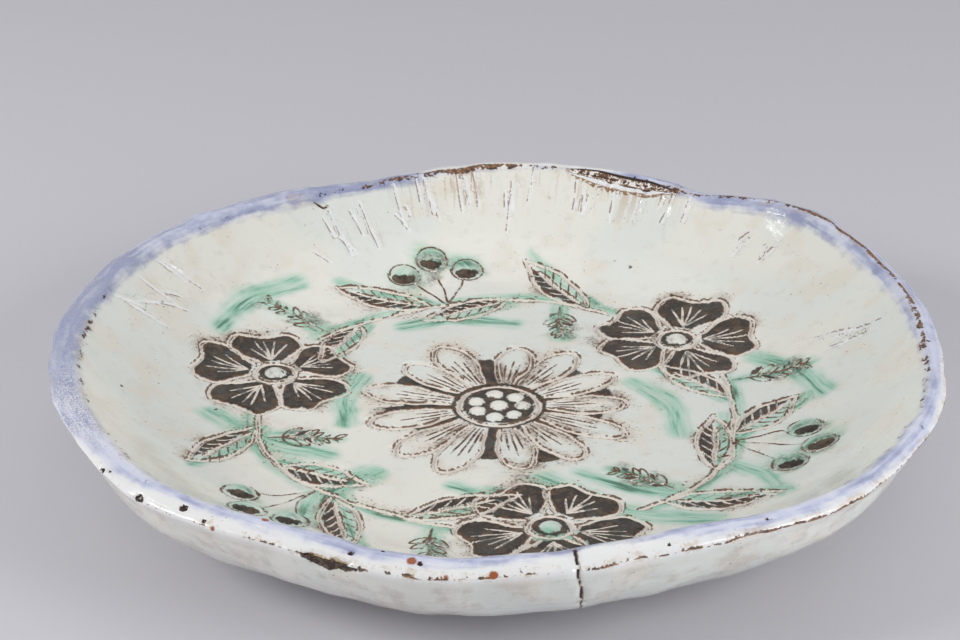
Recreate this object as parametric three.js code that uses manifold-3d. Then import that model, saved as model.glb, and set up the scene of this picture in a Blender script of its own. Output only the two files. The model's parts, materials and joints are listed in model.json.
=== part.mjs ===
// A hand-built round earthenware wall plate with a thick uneven rim, a low foot ring
// and a wreath of flowers cut into its face with a gouge.
// Millimetres, +Z up. The origin is under the middle of the foot, on the surface it stands on.
import * as THREE from "three";
import { mergeVertices } from "three/addons/utils/BufferGeometryUtils.js";
import Module from "manifold-3d";

const wasm = await Module();
wasm.setup();

// Driving dimensions of the plate
const rimRadius = 200;
const rimHeight = 54;
const lipThickness = 12.5;
const floorHeight = 14;
const flatFloorRadius = 92;
const footRadius = 112;
const footWidth = 14;
const footHeight = 4;
const footRecess = 3;
const footBevel = 1.2;

// The lip: how far its edges lie under the rim's height, its crown, and how much thicker it is on the left
const innerEdgeDrop = 1.6;
const outerEdgeDrop = 5.5;
const lipCrown = 1.4;
const lipUnevenness = 2.5;

// The wall: how it rises inside, and how far the lip hangs over it at front and back and at the sides
const wallSteepness = 3;
const overhangFront = 1;
const overhangSide = 8;
const overhangDrop = 2;

// Where the hands pushed the rim out of true: angle and spread in degrees, out and up in millimetres
const rimPushes = [
  { angle: 39, spread: 12, out: 5, up: 2.8 },
  { angle: 57, spread: 7, out: -3, up: -2.4 },
  { angle: 88, spread: 11, out: 1.2, up: 1.2 },
  { angle: 110, spread: 13, out: -2.6, up: -3.2 },
  { angle: 150, spread: 20, out: 0.6, up: 0.3 },
  { angle: -137, spread: 10, out: 3.2, up: -0.4 },
  { angle: -116, spread: 8, out: -1.5, up: 0.3 },
  { angle: -99, spread: 9, out: 2.6, up: -0.4 },
  { angle: -68, spread: 14, out: -4.2, up: 1.6 },
  { angle: -46, spread: 10, out: 1.6, up: -0.2 },
  { angle: -3, spread: 14, out: -3.6, up: 0 },
];

// The carving: a gouge of this radius, held so that it cuts this deep
const gougeRadius = 1.7;
const cutDepth = 1.15;
const gougeSides = 4;

// The wreath and what grows on it
const wreathRadius = 108;
const wreathWave = 2.5;
const daisy = { petals: 13, disc: 18, root: 22, tip: 61, width: 18 };
const rose = { petals: 5, disc: 9, root: 11, tip: 38, width: 34 };
const roseAngles = [38, 163, 281];
const leaf = { length: 45, width: 17, lean: 36, perStem: 4 };
const berry = { radius: 6.5, rise: 2.6, stalk: 38, perSprig: 3, gap: 8.5, sprigAt: 0.53 };
const handUnevenness = 0.07;

// The firing crack that runs over the lip and down the wall
const crackAngle = -82.5;
const crackWidth = 1.5;

const degree = Math.PI / 180;
const fullTurn = 2 * Math.PI;
const facets = 52;
const wallSteps = 7;
const lipSteps = 4;

// A repeatable stand-in for the hand's chance: a number from -1 to 1 for each seed
function wobble(seed) {
  const s = Math.sin(seed * 127.1 + 11.7) * 43758.5453;
  return 2 * (s - Math.floor(s)) - 1;
}

// The sum of the rim's pushes at an angle, either out or up
function pushAt(theta, way) {
  let sum = 0;
  for (const push of rimPushes) {
    let apart = (theta / degree - push.angle) % 360;
    if (apart > 180) apart -= 360;
    if (apart < -180) apart += 360;
    sum += push[way] * Math.exp(-((apart / push.spread) ** 2));
  }
  return sum;
}

// The lip as the hands left it at an angle
function lipAt(theta) {
  const thickness = lipThickness - lipUnevenness * Math.cos(theta);
  const outer = rimRadius + pushAt(theta, "out");
  const top = rimHeight + pushAt(theta, "up");
  return { outer, thickness, top, inner: outer - thickness };
}

// The height of the face over a place inside the lip: flat in the middle, then rising to the lip
function faceHeight(radius, theta) {
  const { inner, top } = lipAt(theta);
  const share = Math.max(0, (radius - flatFloorRadius) / (inner - flatFloorRadius));
  return floorHeight + (top - innerEdgeDrop - floorHeight) * share ** wallSteepness;
}

function surfaceHeight(x, y) {
  return faceHeight(Math.hypot(x, y), Math.atan2(y, x));
}

// Half of the plate's section at an angle, from the middle of the back to the middle of the face
function sectionAt(theta) {
  const { outer, thickness, top, inner } = lipAt(theta);
  const points = [];
  const add = (radius, height) => points.push(new THREE.Vector2(radius, height));

  add(0, footRecess);
  add(footRadius - footWidth - footBevel, footRecess);
  add(footRadius - footWidth, 0);
  add(footRadius - footBevel, 0);

  const overhang = overhangFront + (overhangSide - overhangFront) * Math.cos(theta) ** 2;
  const neckRadius = outer - overhang;
  const neckHeight = top - outerEdgeDrop - overhangDrop;
  for (let i = wallSteps; i >= 0; i--) {
    const phi = (i / wallSteps) * (Math.PI / 2);
    add(
      footRadius + (neckRadius - footRadius) * Math.cos(phi),
      footHeight + (neckHeight - footHeight) * (1 - Math.sin(phi)),
    );
  }
  for (let i = lipSteps; i >= 0; i--) {
    const share = i / lipSteps;
    const fall = innerEdgeDrop + share * (outerEdgeDrop - innerEdgeDrop);
    add(inner + share * thickness, top - fall + lipCrown * (1 - (2 * share - 1) ** 2));
  }
  for (const share of [0.94, 0.84, 0.7, 0.52, 0.3, 0]) {
    const radius = flatFloorRadius + share * (inner - flatFloorRadius);
    add(radius, faceHeight(radius, theta));
  }
  add(0, floorHeight);
  return points;
}

// Turns a closed three.js geometry into a solid, with its shared corners merged
function toSolid(geometry) {
  const bare = new THREE.BufferGeometry();
  bare.setAttribute("position", geometry.getAttribute("position").clone());
  if (geometry.index) bare.setIndex(geometry.index.clone());
  const merged = mergeVertices(bare, 1e-3);
  const corners = merged.index.array;
  const triVerts = [];
  for (let i = 0; i < corners.length; i += 3) {
    const [a, b, c] = [corners[i], corners[i + 1], corners[i + 2]];
    if (a !== b && b !== c && c !== a) triVerts.push(a, b, c);
  }
  const mesh = new wasm.Mesh({
    numProp: 3,
    vertProperties: new Float32Array(merged.getAttribute("position").array),
    triVerts: new Uint32Array(triVerts),
  });
  return new wasm.Manifold(mesh);
}

function toGeometry(solid) {
  const mesh = solid.getMesh();
  const geometry = new THREE.BufferGeometry();
  geometry.setAttribute("position", new THREE.BufferAttribute(new Float32Array(mesh.vertProperties), 3));
  geometry.setIndex(new THREE.BufferAttribute(new Uint32Array(mesh.triVerts), 1));
  geometry.computeVertexNormals();
  return geometry;
}

// The plate before carving: a turned body whose every meridian is then set to its own section
function plateBlank() {
  const rows = sectionAt(0).length;
  const geometry = new THREE.LatheGeometry(sectionAt(0), facets);
  geometry.rotateX(Math.PI / 2);
  const position = geometry.getAttribute("position");
  for (let meridian = 0; meridian <= facets; meridian++) {
    const theta = ((meridian % facets) / facets) * fullTurn - Math.PI / 2;
    const section = sectionAt(theta);
    for (let row = 0; row < rows; row++) {
      const { x: radius, y: height } = section[row];
      position.setXYZ(meridian * rows + row, radius * Math.cos(theta), radius * Math.sin(theta), height);
    }
  }
  return toSolid(geometry);
}

// Places a point given along and across a direction from a start
function fromBase(base, heading, along, across) {
  return new THREE.Vector2(
    base.x + along * Math.cos(heading) - across * Math.sin(heading),
    base.y + along * Math.sin(heading) + across * Math.cos(heading),
  );
}

function polar(radius, angle) {
  return new THREE.Vector2(radius * Math.cos(angle), radius * Math.sin(angle));
}

// What a blade of a few flat sides takes away along a path
function gougeAlong(path, radius, steps) {
  const section = new THREE.Shape();
  for (let i = 0; i < gougeSides; i++) {
    const corner = polar(radius, (i / gougeSides) * fullTurn);
    if (i === 0) section.moveTo(corner.x, corner.y);
    else section.lineTo(corner.x, corner.y);
  }
  return toSolid(new THREE.ExtrudeGeometry(section, { steps, extrudePath: path, bevelEnabled: false }));
}

// One pass of the gouge along places on the face
function gougeStroke(places, steps) {
  const lift = gougeRadius - cutDepth;
  const path = new THREE.CatmullRomCurve3(
    places.map((p) => new THREE.Vector3(p.x, p.y, surfaceHeight(p.x, p.y) + lift)),
  );
  return gougeAlong(path, gougeRadius, steps);
}

// The crack follows the section from under the belly to the lip's inner edge, a little off line
function crackCut() {
  const footRows = 4;
  const rows = wallSteps + lipSteps + 1;
  const places = [];
  for (let row = 2; row <= rows; row++) {
    const theta = (crackAngle + 0.25 * wobble(row + 300)) * degree;
    const { x: radius, y: height } = sectionAt(theta)[footRows + row];
    places.push(new THREE.Vector3(radius * Math.cos(theta), radius * Math.sin(theta), height));
  }
  return gougeAlong(new THREE.CatmullRomCurve3(places), crackWidth / 2, places.length);
}

// A round-tipped petal, drawn from its root round its tip and back
function petalStroke(centre, heading, root, tip, width) {
  const long = tip - root;
  const outline = [
    [0, -0.18],
    [0.5, -0.46],
    [0.86, -0.34],
    [1, 0],
    [0.86, 0.34],
    [0.5, 0.46],
    [0, 0.18],
  ];
  return gougeStroke(
    outline.map(([along, across]) => fromBase(centre, heading, root + along * long, across * width)),
    7,
  );
}

// A notched, heart-shaped petal
function roseStroke(centre, heading, root, tip, width) {
  const long = tip - root;
  const outline = [
    [0, -0.14],
    [0.5, -0.5],
    [0.92, -0.36],
    [0.86, 0],
    [0.92, 0.36],
    [0.5, 0.5],
    [0, 0.14],
  ];
  return gougeStroke(
    outline.map(([along, across]) => fromBase(centre, heading, root + along * long, across * width)),
    8,
  );
}

function arcStroke(centre, radius, from, to, steps) {
  const places = [];
  for (let i = 0; i <= steps; i++) {
    const angle = from + ((to - from) * i) / steps;
    places.push(polar(radius, angle).add(centre));
  }
  return gougeStroke(places, steps);
}

// A ring is two passes of the gouge whose ends cross a little out of line
function ringStrokes(centre, radius, steps) {
  const overlap = 9 * degree;
  return [
    arcStroke(centre, radius, 0, Math.PI + overlap, steps),
    arcStroke(centre, radius + 0.5 * gougeRadius, Math.PI, fullTurn + overlap, steps),
  ];
}

function leafStrokes(base, heading, length, width) {
  const strokes = [];
  for (const side of [-1, 1]) {
    const late = side > 0 ? 0.04 : 0;
    const outline = [
      [0.03 + late, 0.08],
      [0.28, 0.4],
      [0.6, 0.46],
      [0.86, 0.22],
      [1 + late, 0.02],
    ];
    strokes.push(
      gougeStroke(
        outline.map(([along, across]) => fromBase(base, heading, along * length, side * across * width)),
        4,
      ),
    );
  }
  const midrib = [0.13, 0.8].map((along) => fromBase(base, heading, along * length, 0));
  strokes.push(gougeStroke(midrib, 1));
  return strokes;
}

function daisyStrokes() {
  const strokes = ringStrokes(new THREE.Vector2(0, 0), daisy.disc, 6);
  for (let i = 0; i < daisy.petals; i++) {
    const heading = (i / daisy.petals) * fullTurn + handUnevenness * wobble(i);
    const tip = daisy.tip * (1 + handUnevenness * wobble(i + 20));
    strokes.push(petalStroke(new THREE.Vector2(0, 0), heading, daisy.root, tip, daisy.width));
  }
  return strokes;
}

function roseStrokes(index) {
  const centre = polar(wreathRadius, roseAngles[index] * degree);
  const strokes = ringStrokes(centre, rose.disc, 3);
  for (let i = 0; i < rose.petals; i++) {
    const seed = 40 + 10 * index + i;
    const heading = ((i + 0.4 * index) / rose.petals) * fullTurn + handUnevenness * wobble(seed);
    const tip = rose.tip * (1 + handUnevenness * wobble(seed + 50));
    strokes.push(roseStroke(centre, heading, rose.root, tip, rose.width));
  }
  return strokes;
}

// The stretch of the wreath between one rose and the next, as start and end angles
function stemSpan(index) {
  const clear = (rose.tip + 2) / wreathRadius;
  const next = index + 1 < roseAngles.length ? roseAngles[index + 1] : roseAngles[0] + 360;
  return [roseAngles[index] * degree + clear, next * degree - clear];
}

function stemPoint(index, share) {
  const [from, to] = stemSpan(index);
  return polar(wreathRadius + wreathWave * Math.sin(share * fullTurn), from + (to - from) * share);
}

function stemStrokes(index) {
  const places = [];
  const steps = 7;
  for (let i = 0; i <= steps; i++) places.push(stemPoint(index, i / steps));
  const strokes = [gougeStroke(places, steps)];
  const [from, to] = stemSpan(index);
  for (let i = 0; i < leaf.perStem; i++) {
    const share = (i + 0.35) / leaf.perStem;
    const side = i % 2 === 0 ? 1 : -1;
    const seed = 120 + 10 * index + i;
    const along = from + (to - from) * share + Math.PI / 2;
    const heading = along - side * leaf.lean * degree + 2 * handUnevenness * wobble(seed);
    const length = leaf.length * (1 + 2 * handUnevenness * wobble(seed + 60));
    strokes.push(...leafStrokes(stemPoint(index, share), heading, length, leaf.width));
  }
  return strokes;
}

// A sprig of berries stands on the outside of each stem, each berry a low dome
function berrySolids(index) {
  const [from, to] = stemSpan(index);
  const solids = [];
  for (let i = 0; i < berry.perSprig; i++) {
    const turn = ((i - (berry.perSprig - 1) / 2) * 2 * berry.gap) / (wreathRadius + berry.stalk);
    const reach = wreathRadius + berry.stalk - (i === 1 ? 0 : berry.gap);
    const place = polar(reach, from + (to - from) * berry.sprigAt + turn);
    const dome = new THREE.SphereGeometry(berry.radius, 8, 6);
    dome.rotateX(Math.PI / 2);
    dome.scale(1, 1, berry.rise / berry.radius);
    dome.translate(place.x, place.y, surfaceHeight(place.x, place.y));
    solids.push(toSolid(dome));
  }
  return solids;
}

function carvedPlate() {
  let plate = plateBlank();
  let cuts = [crackCut(), ...daisyStrokes()];
  for (let i = 0; i < roseAngles.length; i++) {
    cuts = cuts.concat(roseStrokes(i), stemStrokes(i));
    for (const dome of berrySolids(i)) plate = plate.add(dome);
  }
  for (const cut of cuts) plate = plate.subtract(cut);
  return plate;
}

const glaze = new THREE.MeshStandardMaterial({ color: 0xdad9d2, roughness: 0.3, metalness: 0 });
const plate = new THREE.Mesh(toGeometry(carvedPlate()), glaze);
plate.name = "plate";

const wallPlate = new THREE.Group();
wallPlate.add(plate);

export default wallPlate;
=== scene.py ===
import json
import math
from functools import partial

import bmesh
import bpy
import numpy as np
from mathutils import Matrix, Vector, kdtree
from mathutils.bvhtree import BVHTree

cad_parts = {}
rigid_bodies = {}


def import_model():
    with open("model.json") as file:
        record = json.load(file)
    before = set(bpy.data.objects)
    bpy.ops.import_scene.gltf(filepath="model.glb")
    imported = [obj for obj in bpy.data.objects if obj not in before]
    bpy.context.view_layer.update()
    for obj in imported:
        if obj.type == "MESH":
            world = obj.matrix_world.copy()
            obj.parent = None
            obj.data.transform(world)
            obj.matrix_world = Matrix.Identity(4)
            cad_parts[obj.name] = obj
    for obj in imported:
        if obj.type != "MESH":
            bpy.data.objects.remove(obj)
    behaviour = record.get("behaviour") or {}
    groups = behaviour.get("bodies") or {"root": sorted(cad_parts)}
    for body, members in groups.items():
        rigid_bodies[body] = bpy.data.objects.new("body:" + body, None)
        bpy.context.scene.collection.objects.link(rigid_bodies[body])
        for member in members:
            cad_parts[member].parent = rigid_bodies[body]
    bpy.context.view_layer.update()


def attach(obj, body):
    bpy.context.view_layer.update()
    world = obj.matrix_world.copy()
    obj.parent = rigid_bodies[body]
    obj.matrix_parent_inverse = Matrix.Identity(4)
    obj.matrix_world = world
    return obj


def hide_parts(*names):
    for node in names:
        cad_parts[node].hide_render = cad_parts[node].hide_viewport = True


for leftover in list(bpy.data.objects):  # a bare file to start from
    bpy.data.objects.remove(leftover)
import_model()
mm = 0.001


# the plate's own shape, millimetres and degrees, the same as the solid's
plateShape = {
    "rimRadius": 200.0, "rimHeight": 54.0, "lipThickness": 12.5, "lipUnevenness": 2.5,
    "floorHeight": 14.0, "flatFloorRadius": 92.0, "wallSteepness": 3.0,
    "innerEdgeDrop": 1.6, "outerEdgeDrop": 5.5, "lipCrown": 1.4,
    "overhangFront": 1.0, "overhangSide": 8.0, "overhangDrop": 2.0,
    "footRadius": 112.0, "footWidth": 14.0, "footHeight": 4.0, "footRecess": 3.0,
    "rimPushes": [  # angle, spread, out, up
        (39, 12, 5, 2.8), (57, 7, -3, -2.4), (88, 11, 1.2, 1.2), (110, 13, -2.6, -3.2),
        (150, 20, 0.6, 0.3), (-137, 10, 3.2, -0.4), (-116, 8, -1.5, 0.3), (-99, 9, 2.6, -0.4),
        (-68, 14, -4.2, 1.6), (-46, 10, 1.6, -0.2), (-3, 14, -3.6, 0),
    ],
    "ringGap": 2.7,          # spacing of the mesh rings on the face
    "ringCount": 320,        # points round the rim
    "fineReach": [3.1, 1.35],  # the mesh is halved this near to a stroke, and halved again nearer
}


# one soft swell round the rim
def swell(degrees, angle, spread):
    return np.exp(-(((degrees - angle + 180) % 360 - 180) / spread) ** 2)


def pushAt(theta, way):
    total = 0.0
    for angle, spread, out, up in plateShape["rimPushes"]:
        total = total + (out, up)[way] * swell(np.degrees(theta), angle, spread)
    return total


def lipAt(theta):
    s = plateShape
    thickness = s["lipThickness"] - s["lipUnevenness"] * np.cos(theta)
    outer = s["rimRadius"] + pushAt(theta, 0)
    return outer, thickness, s["rimHeight"] + pushAt(theta, 1), outer - thickness


def faceHeight(radius, theta):
    s = plateShape
    outer, thickness, top, inner = lipAt(theta)
    share = np.maximum(0, (radius - s["flatFloorRadius"]) / (inner - s["flatFloorRadius"]))
    return s["floorHeight"] + (top - s["innerEdgeDrop"] - s["floorHeight"]) * share ** s["wallSteepness"]


def wobble(seed):
    s = math.sin(seed * 127.1 + 11.7) * 43758.5453
    return 2 * (s - math.floor(s)) - 1


def polar(radius, angle):
    return np.array([radius * math.cos(angle), radius * math.sin(angle)])


def fromBase(base, heading, along, across):
    c, s = math.cos(heading), math.sin(heading)
    return np.array([base[0] + along * c - across * s, base[1] + along * s + across * c])


# a smooth line through the given places, one point every millimetre or so
def smoothLine(places, gap=0.9, closed=False):
    p = np.asarray(places, float)
    ends = (p[-1:], p[:1], p[1:2]) if closed else (2 * p[:1] - p[1:2], 2 * p[-1:] - p[-2:-1], p[:0])
    q = np.vstack([ends[0], p, ends[1], ends[2]])
    line = []
    for i in range(1, len(q) - 2):
        a, b, c, d = q[i - 1], q[i], q[i + 1], q[i + 2]
        count = max(2, int(np.linalg.norm(c - b) / gap))
        for t in np.arange(count) / count:
            line.append(0.5 * (2 * b + (c - a) * t + (2 * a - 5 * b + 4 * c - d) * t * t
                               + (3 * b - a - 3 * c + d) * t ** 3))
    if not closed:
        line.append(q[-2])
    return np.array(line)


def lengthsAlong(line):
    return np.concatenate([[0], np.cumsum(np.linalg.norm(np.diff(line, axis=0), axis=1))])


# a slow sideways tremble of the hand
def tremble(line, seed, amount=0.35):
    along = lengthsAlong(line)
    turn = np.gradient(line, axis=0)
    side = np.stack([-turn[:, 1], turn[:, 0]], 1)
    side /= np.maximum(1e-6, np.linalg.norm(side, axis=1))[:, None]
    shake = np.sin(along / 5.3 + 6 * wobble(seed)) + 0.6 * np.sin(along / 2.3 + 6 * wobble(seed + 7))
    return line + side * (amount * shake)[:, None]


# how hard the tool was pressed along a line: light at both ends
def pressAlong(line, seed, ends=0.35, fade=5.0):
    along = lengthsAlong(line)
    near = np.minimum(along, along[-1] - along)
    press = ends + (1 - ends) * np.clip(near / fade, 0, 1) ** 0.7
    slowly = 0.13 * np.sin(along / 9 + 5 * wobble(seed + 3))
    quickly = 0.08 * np.sin(along / 3.7 + 6 * wobble(seed + 5))
    return press * (0.82 + slowly + quickly) * (1 + 0.14 * wobble(seed + 11))


# the wreath, from the same sizes as the solid's, with finer work between its strokes
wreath = {
    "radius": 108.0, "wave": 2.5, "roseAngles": [38.0, 163.0, 281.0],
    "daisy": {"petals": 13, "disc": 18.0, "root": 22.0, "tip": 61.0, "width": 18.0},
    "rose": {"petals": 5, "disc": 9.0, "root": 11.0, "tip": 38.0, "width": 34.0},
    "leaf": {"length": 45.0, "width": 17.0, "lean": 36.0, "perStem": 4},
    "berry": {"radius": 6.5, "rise": 2.6, "stalk": 38.0, "perSprig": 3, "gap": 8.5, "sprigAt": 0.53},
    "unevenness": 0.07, "gougeWidth": 3.0, "needleWidth": 1.3,
    "bead": {"radius": 3.3, "rise": 1.5, "ring": 10.8, "count": 7},
}
petalOutline = [(0, -0.18), (0.5, -0.46), (0.86, -0.34), (1, 0), (0.86, 0.34), (0.5, 0.46), (0, 0.18)]
roseOutline = [(0, -0.14), (0.5, -0.5), (0.92, -0.36), (0.86, 0), (0.92, 0.36), (0.5, 0.5), (0, 0.14)]
leafletOutline = [(0.08, 0), (0.45, 0.17), (0.8, 0.12), (1, 0), (0.8, -0.12), (0.45, -0.17)]
# painted shade: a dark crescent on the lower side of each raised berry
berryShade = [(0.98, -0.35), (1.12, -0.9), (1.12, -1.6), (1.12, -2.3), (0.98, -2.8),  # share of radius, angle
              (0.55, -2.2), (0.42, -1.6), (0.55, -0.9)]

gouges, needles, scratches, cracks = [], [], [], []  # each a line and its press
darkShapes, whiteShapes, domes, washes = [], [], [], []


def addStroke(kind, places, seed, ends=0.35, amount=0.35, closed=False):
    line = tremble(smoothLine(places, closed=closed), seed, amount)
    kind.append((line, pressAlong(line, seed, ends)))
    return line


def addRing(kind, centre, radius, seed, ends=0.8):
    for half in (0, 1):
        angles = np.linspace(half * math.pi, half * math.pi + math.pi + 0.15, 9)
        r = radius + half * 0.25 * wreath["gougeWidth"]
        addStroke(kind, [centre + polar(r, a) for a in angles], seed + half, ends, 0.2)


def outlineOf(shape, centre, heading, root, tip, width):
    return [fromBase(centre, heading, root + a * (tip - root), b * width) for a, b in shape]


def carveDaisy():
    d, b = wreath["daisy"], wreath["bead"]
    middle = np.zeros(2)
    addRing(gouges, middle, d["disc"], 500)
    for i in range(d["petals"]):
        heading = i / d["petals"] * 2 * math.pi + wreath["unevenness"] * wobble(i)
        tip = d["tip"] * (1 + wreath["unevenness"] * wobble(i + 20))
        line = addStroke(gouges, outlineOf(petalOutline, middle, heading, d["root"], tip, d["width"]), i)
        whiteShapes.append(line)
        for k, side in enumerate((-0.16, 0.02, 0.19)):
            start = d["root"] + (3 + 2.5 * wobble(i * 5 + k)) * (1 if k != 1 else 0.3)
            stop = tip - 11 - 6 * abs(wobble(i * 7 + k)) - (5 if k != 1 else 0)
            places = [fromBase(middle, heading, start + t * (stop - start),
                               side * d["width"] * (0.55 + 0.5 * t)) for t in (0, 0.5, 1)]
            addStroke(needles, places, 30 + i * 3 + k, 0.2, 0.15)
    domes.append((middle, b["radius"] * 1.25, b["rise"] * 1.2))
    for i in range(b["count"]):
        angle = i / b["count"] * 2 * math.pi + 0.12 * wobble(i + 80)
        domes.append((polar(b["ring"], angle), b["radius"] * (1 + 0.12 * wobble(i + 90)), b["rise"]))


def carveRose(index):
    r = wreath["rose"]
    centre = polar(wreath["radius"], math.radians(wreath["roseAngles"][index]))
    addRing(gouges, centre, r["disc"], 520 + index * 2)
    for i in range(r["petals"]):
        seed = 40 + 10 * index + i
        heading = (i + 0.4 * index) / r["petals"] * 2 * math.pi + wreath["unevenness"] * wobble(seed)
        tip = r["tip"] * (1 + wreath["unevenness"] * wobble(seed + 50))
        line = addStroke(gouges, outlineOf(roseOutline, centre, heading, r["root"], tip, r["width"]), seed)
        darkShapes.append((line, 0.6))
        for k in range(-2, 3):
            reach = (0.72 - 0.09 * abs(k)) * (tip - r["root"]) * (1 + 0.14 * wobble(seed * 5 + k))
            lean = 0.26 * k + 0.05 * wobble(seed + 3 * k)
            places = [fromBase(centre, heading, r["root"] + 2 + t * reach * math.cos(lean),
                               t * reach * math.sin(lean) * 1.15) for t in (0, 0.35, 0.7, 1)]
            addStroke(needles, places, 200 + seed * 5 + k, 0.3, 0.2)
    domes.append((centre, 4.6, 2.0))


def stemSpan(index):
    angles = wreath["roseAngles"]
    clear = (wreath["rose"]["tip"] + 2) / wreath["radius"]
    after = angles[index + 1] if index + 1 < len(angles) else angles[0] + 360
    return math.radians(angles[index]) + clear, math.radians(after) - clear


def stemPoint(index, share):
    start, stop = stemSpan(index)
    radius = wreath["radius"] + wreath["wave"] * math.sin(share * 2 * math.pi)
    return polar(radius, start + (stop - start) * share)


def carveLeaf(base, heading, length, width, seed):
    sides = {}
    for side in (-1, 1):
        late = 0.04 if side > 0 else 0
        places = [(0.03 + late, 0.08), (0.28, 0.4), (0.6, 0.46), (0.86, 0.22), (1 + late, 0.02)]
        sides[side] = addStroke(gouges, [fromBase(base, heading, a * length, side * b * width)
                                         for a, b in places], seed + side)
    addStroke(gouges, [fromBase(base, heading, a * length, 0.02 * width * math.sin(9 * a))
                       for a in (0.13, 0.35, 0.6, 0.8)], seed + 5)
    filled = 1 if wobble(seed + 9) > 0 else -1
    half = [fromBase(base, heading, a * length, 0) for a in (0.9, 0.6, 0.3, 0.08)]
    darkShapes.append((np.vstack([sides[filled], half]), 0.9))
    washes.append((smoothLine([fromBase(base, heading, a * length, -filled * 0.26 * width)
                               for a in (0.02, 0.4, 0.75, 1.05)], 2), 4.6, 0.9))
    for k in range(5):
        a = 0.2 + 0.13 * k
        for side in (-1, 1):
            places = [fromBase(base, heading, (a + 0.13 * t) * length, side * (0.04 + 0.3 * t) * width)
                      for t in (0, 0.5, 1)]
            addStroke(needles, places, 700 + seed * 3 + k * 2 + side, 0.3, 0.1)


def carveStem(index):
    l, b = wreath["leaf"], wreath["berry"]
    places = [stemPoint(index, i / 10) for i in range(11)]
    addStroke(gouges, places, 600 + index)
    washes.append((smoothLine([p * 1.025 for p in places], 2), 4.2, 0.8))
    start, stop = stemSpan(index)
    for i in range(l["perStem"]):
        share = (i + 0.35) / l["perStem"]
        side = 1 if i % 2 == 0 else -1
        seed = 120 + 10 * index + i
        heading = (start + (stop - start) * share + math.pi / 2 - side * math.radians(l["lean"])
                   + 2 * wreath["unevenness"] * wobble(seed))
        length = l["length"] * (1 + 2 * wreath["unevenness"] * wobble(seed + 60))
        carveLeaf(stemPoint(index, share), heading, length, l["width"], seed)
    root = stemPoint(index, b["sprigAt"])
    for i in range(b["perSprig"]):
        turn = (i - (b["perSprig"] - 1) / 2) * 2 * b["gap"] / (wreath["radius"] + b["stalk"])
        reach = wreath["radius"] + b["stalk"] - (0 if i == 1 else b["gap"])
        place = polar(reach, start + (stop - start) * b["sprigAt"] + turn)
        domes.append((place, b["radius"], b["rise"]))
        addRing(needles, place, b["radius"] + 0.9, 640 + index * 10 + i * 2)
        bend = (root + place) / 2 + np.array([wobble(i + index), wobble(i + index + 4)]) * 4
        stalkEnd = place + (root - place) / np.linalg.norm(root - place) * (b["radius"] + 1)
        addStroke(needles, [root, bend, stalkEnd], 660 + index * 10 + i, 0.5, 0.3)
        # painted shade: a dark crescent on the berry's lower side, laid with the dark colour
        low = [place + polar(b["radius"] * share, angle) for share, angle in berryShade]
        darkShapes.append((smoothLine(low, 1.5, True), 0.1))
        washes.append((np.array([place, place + polar(4, 2.2 + i)]), 10.5, 0.55))


carveDaisy()
for index in range(len(wreath["roseAngles"])):
    carveRose(index)
    carveStem(index)

# a fern drawn with the needle only: where it grows from, which way, how long, which way it bends
ferns = [(0, 0.95, 0.0, 38.0, 0.35), (1, 0.94, 0.1, 36.0, 0.4), (2, 0.95, 0.05, 36.0, -0.3),
         (0, 0.17, 3.3, 33.0, 0.3), (1, 0.16, 3.0, 33.0, -0.35), (2, 0.17, 3.2, 32.0, 0.35)]


def drawFern(number, stem, share, turn, length, bend):
    base = stemPoint(stem, share) * (1.03 if turn < 1 else 0.97)
    heading = math.atan2(base[1], base[0]) + turn
    rib = smoothLine([fromBase(base, heading, t * length, bend * length * t * t * 0.5)
                      for t in np.linspace(0, 1, 6)])
    needles.append((rib, pressAlong(rib, 400 + number)))
    washes.append((rib[::3], 6.5, 0.75))
    for k in range(6):
        at = rib[int(len(rib) * (0.22 + 0.13 * k))]
        for side in (-1, 1):
            seed = 420 + number * 20 + k * 2 + side
            lean = heading + bend * (0.2 + 0.13 * k) * 1.2 + side * (0.75 + 0.1 * wobble(seed))
            size = (10.5 - 0.9 * k) * (1 + 0.2 * wobble(seed + 5))
            places = [fromBase(at, lean, a * size, b * size) for a, b in leafletOutline]
            leaflet = smoothLine(places, closed=True)
            if (k + number + (side > 0)) % 3 == 0:
                darkShapes.append((leaflet, 0.2))
            else:
                needles.append((np.vstack([leaflet, leaflet[:1]]), 0.75 * np.ones(len(leaflet) + 1)))


for number, fern in enumerate(ferns):
    drawFern(number, *fern)

# loose sweeps of green left by a wide wet brush: places and half width
looseWashes = [
    ([(22, -70), (50, -92), (84, -104)], 10.0), ([(36, -62), (62, -76), (92, -84)], 7.0),
    ([(20, -112), (52, -128), (84, -132)], 9.0), ([(-128, -12), (-100, -34), (-74, -44)], 8.0),
    ([(-56, -60), (-74, -78), (-78, -102)], 9.0), ([(62, 24), (78, 2), (80, -24)], 7.5),
    ([(-44, 80), (-20, 88), (8, 84)], 7.0), ([(120, 44), (138, 26), (146, 2)], 7.5),
    ([(-132, 66), (-120, 92), (-98, 112)], 6.5), ([(-64, 26), (-70, 6), (-68, -16)], 6.5),
    ([(-20, -72), (4, -82), (28, -78)], 6.5), ([(96, -50), (112, -66), (118, -88)], 7.0),
]
for places, half in looseWashes:
    washes.append((smoothLine(places, 2), half, 1.0))
# soft dark smudges where the brush was wiped: place and radius
smudges = [((46, 66), 9), ((-66, -52), 8), ((70, -48), 9), ((-84, 88), 7), ((10, -66), 7),
           ((128, -20), 8), ((-140, 40), 7), ((-30, 128), 8), ((96, 100), 7)]
print("strokes", len(gouges), "fine lines", len(needles))


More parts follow.
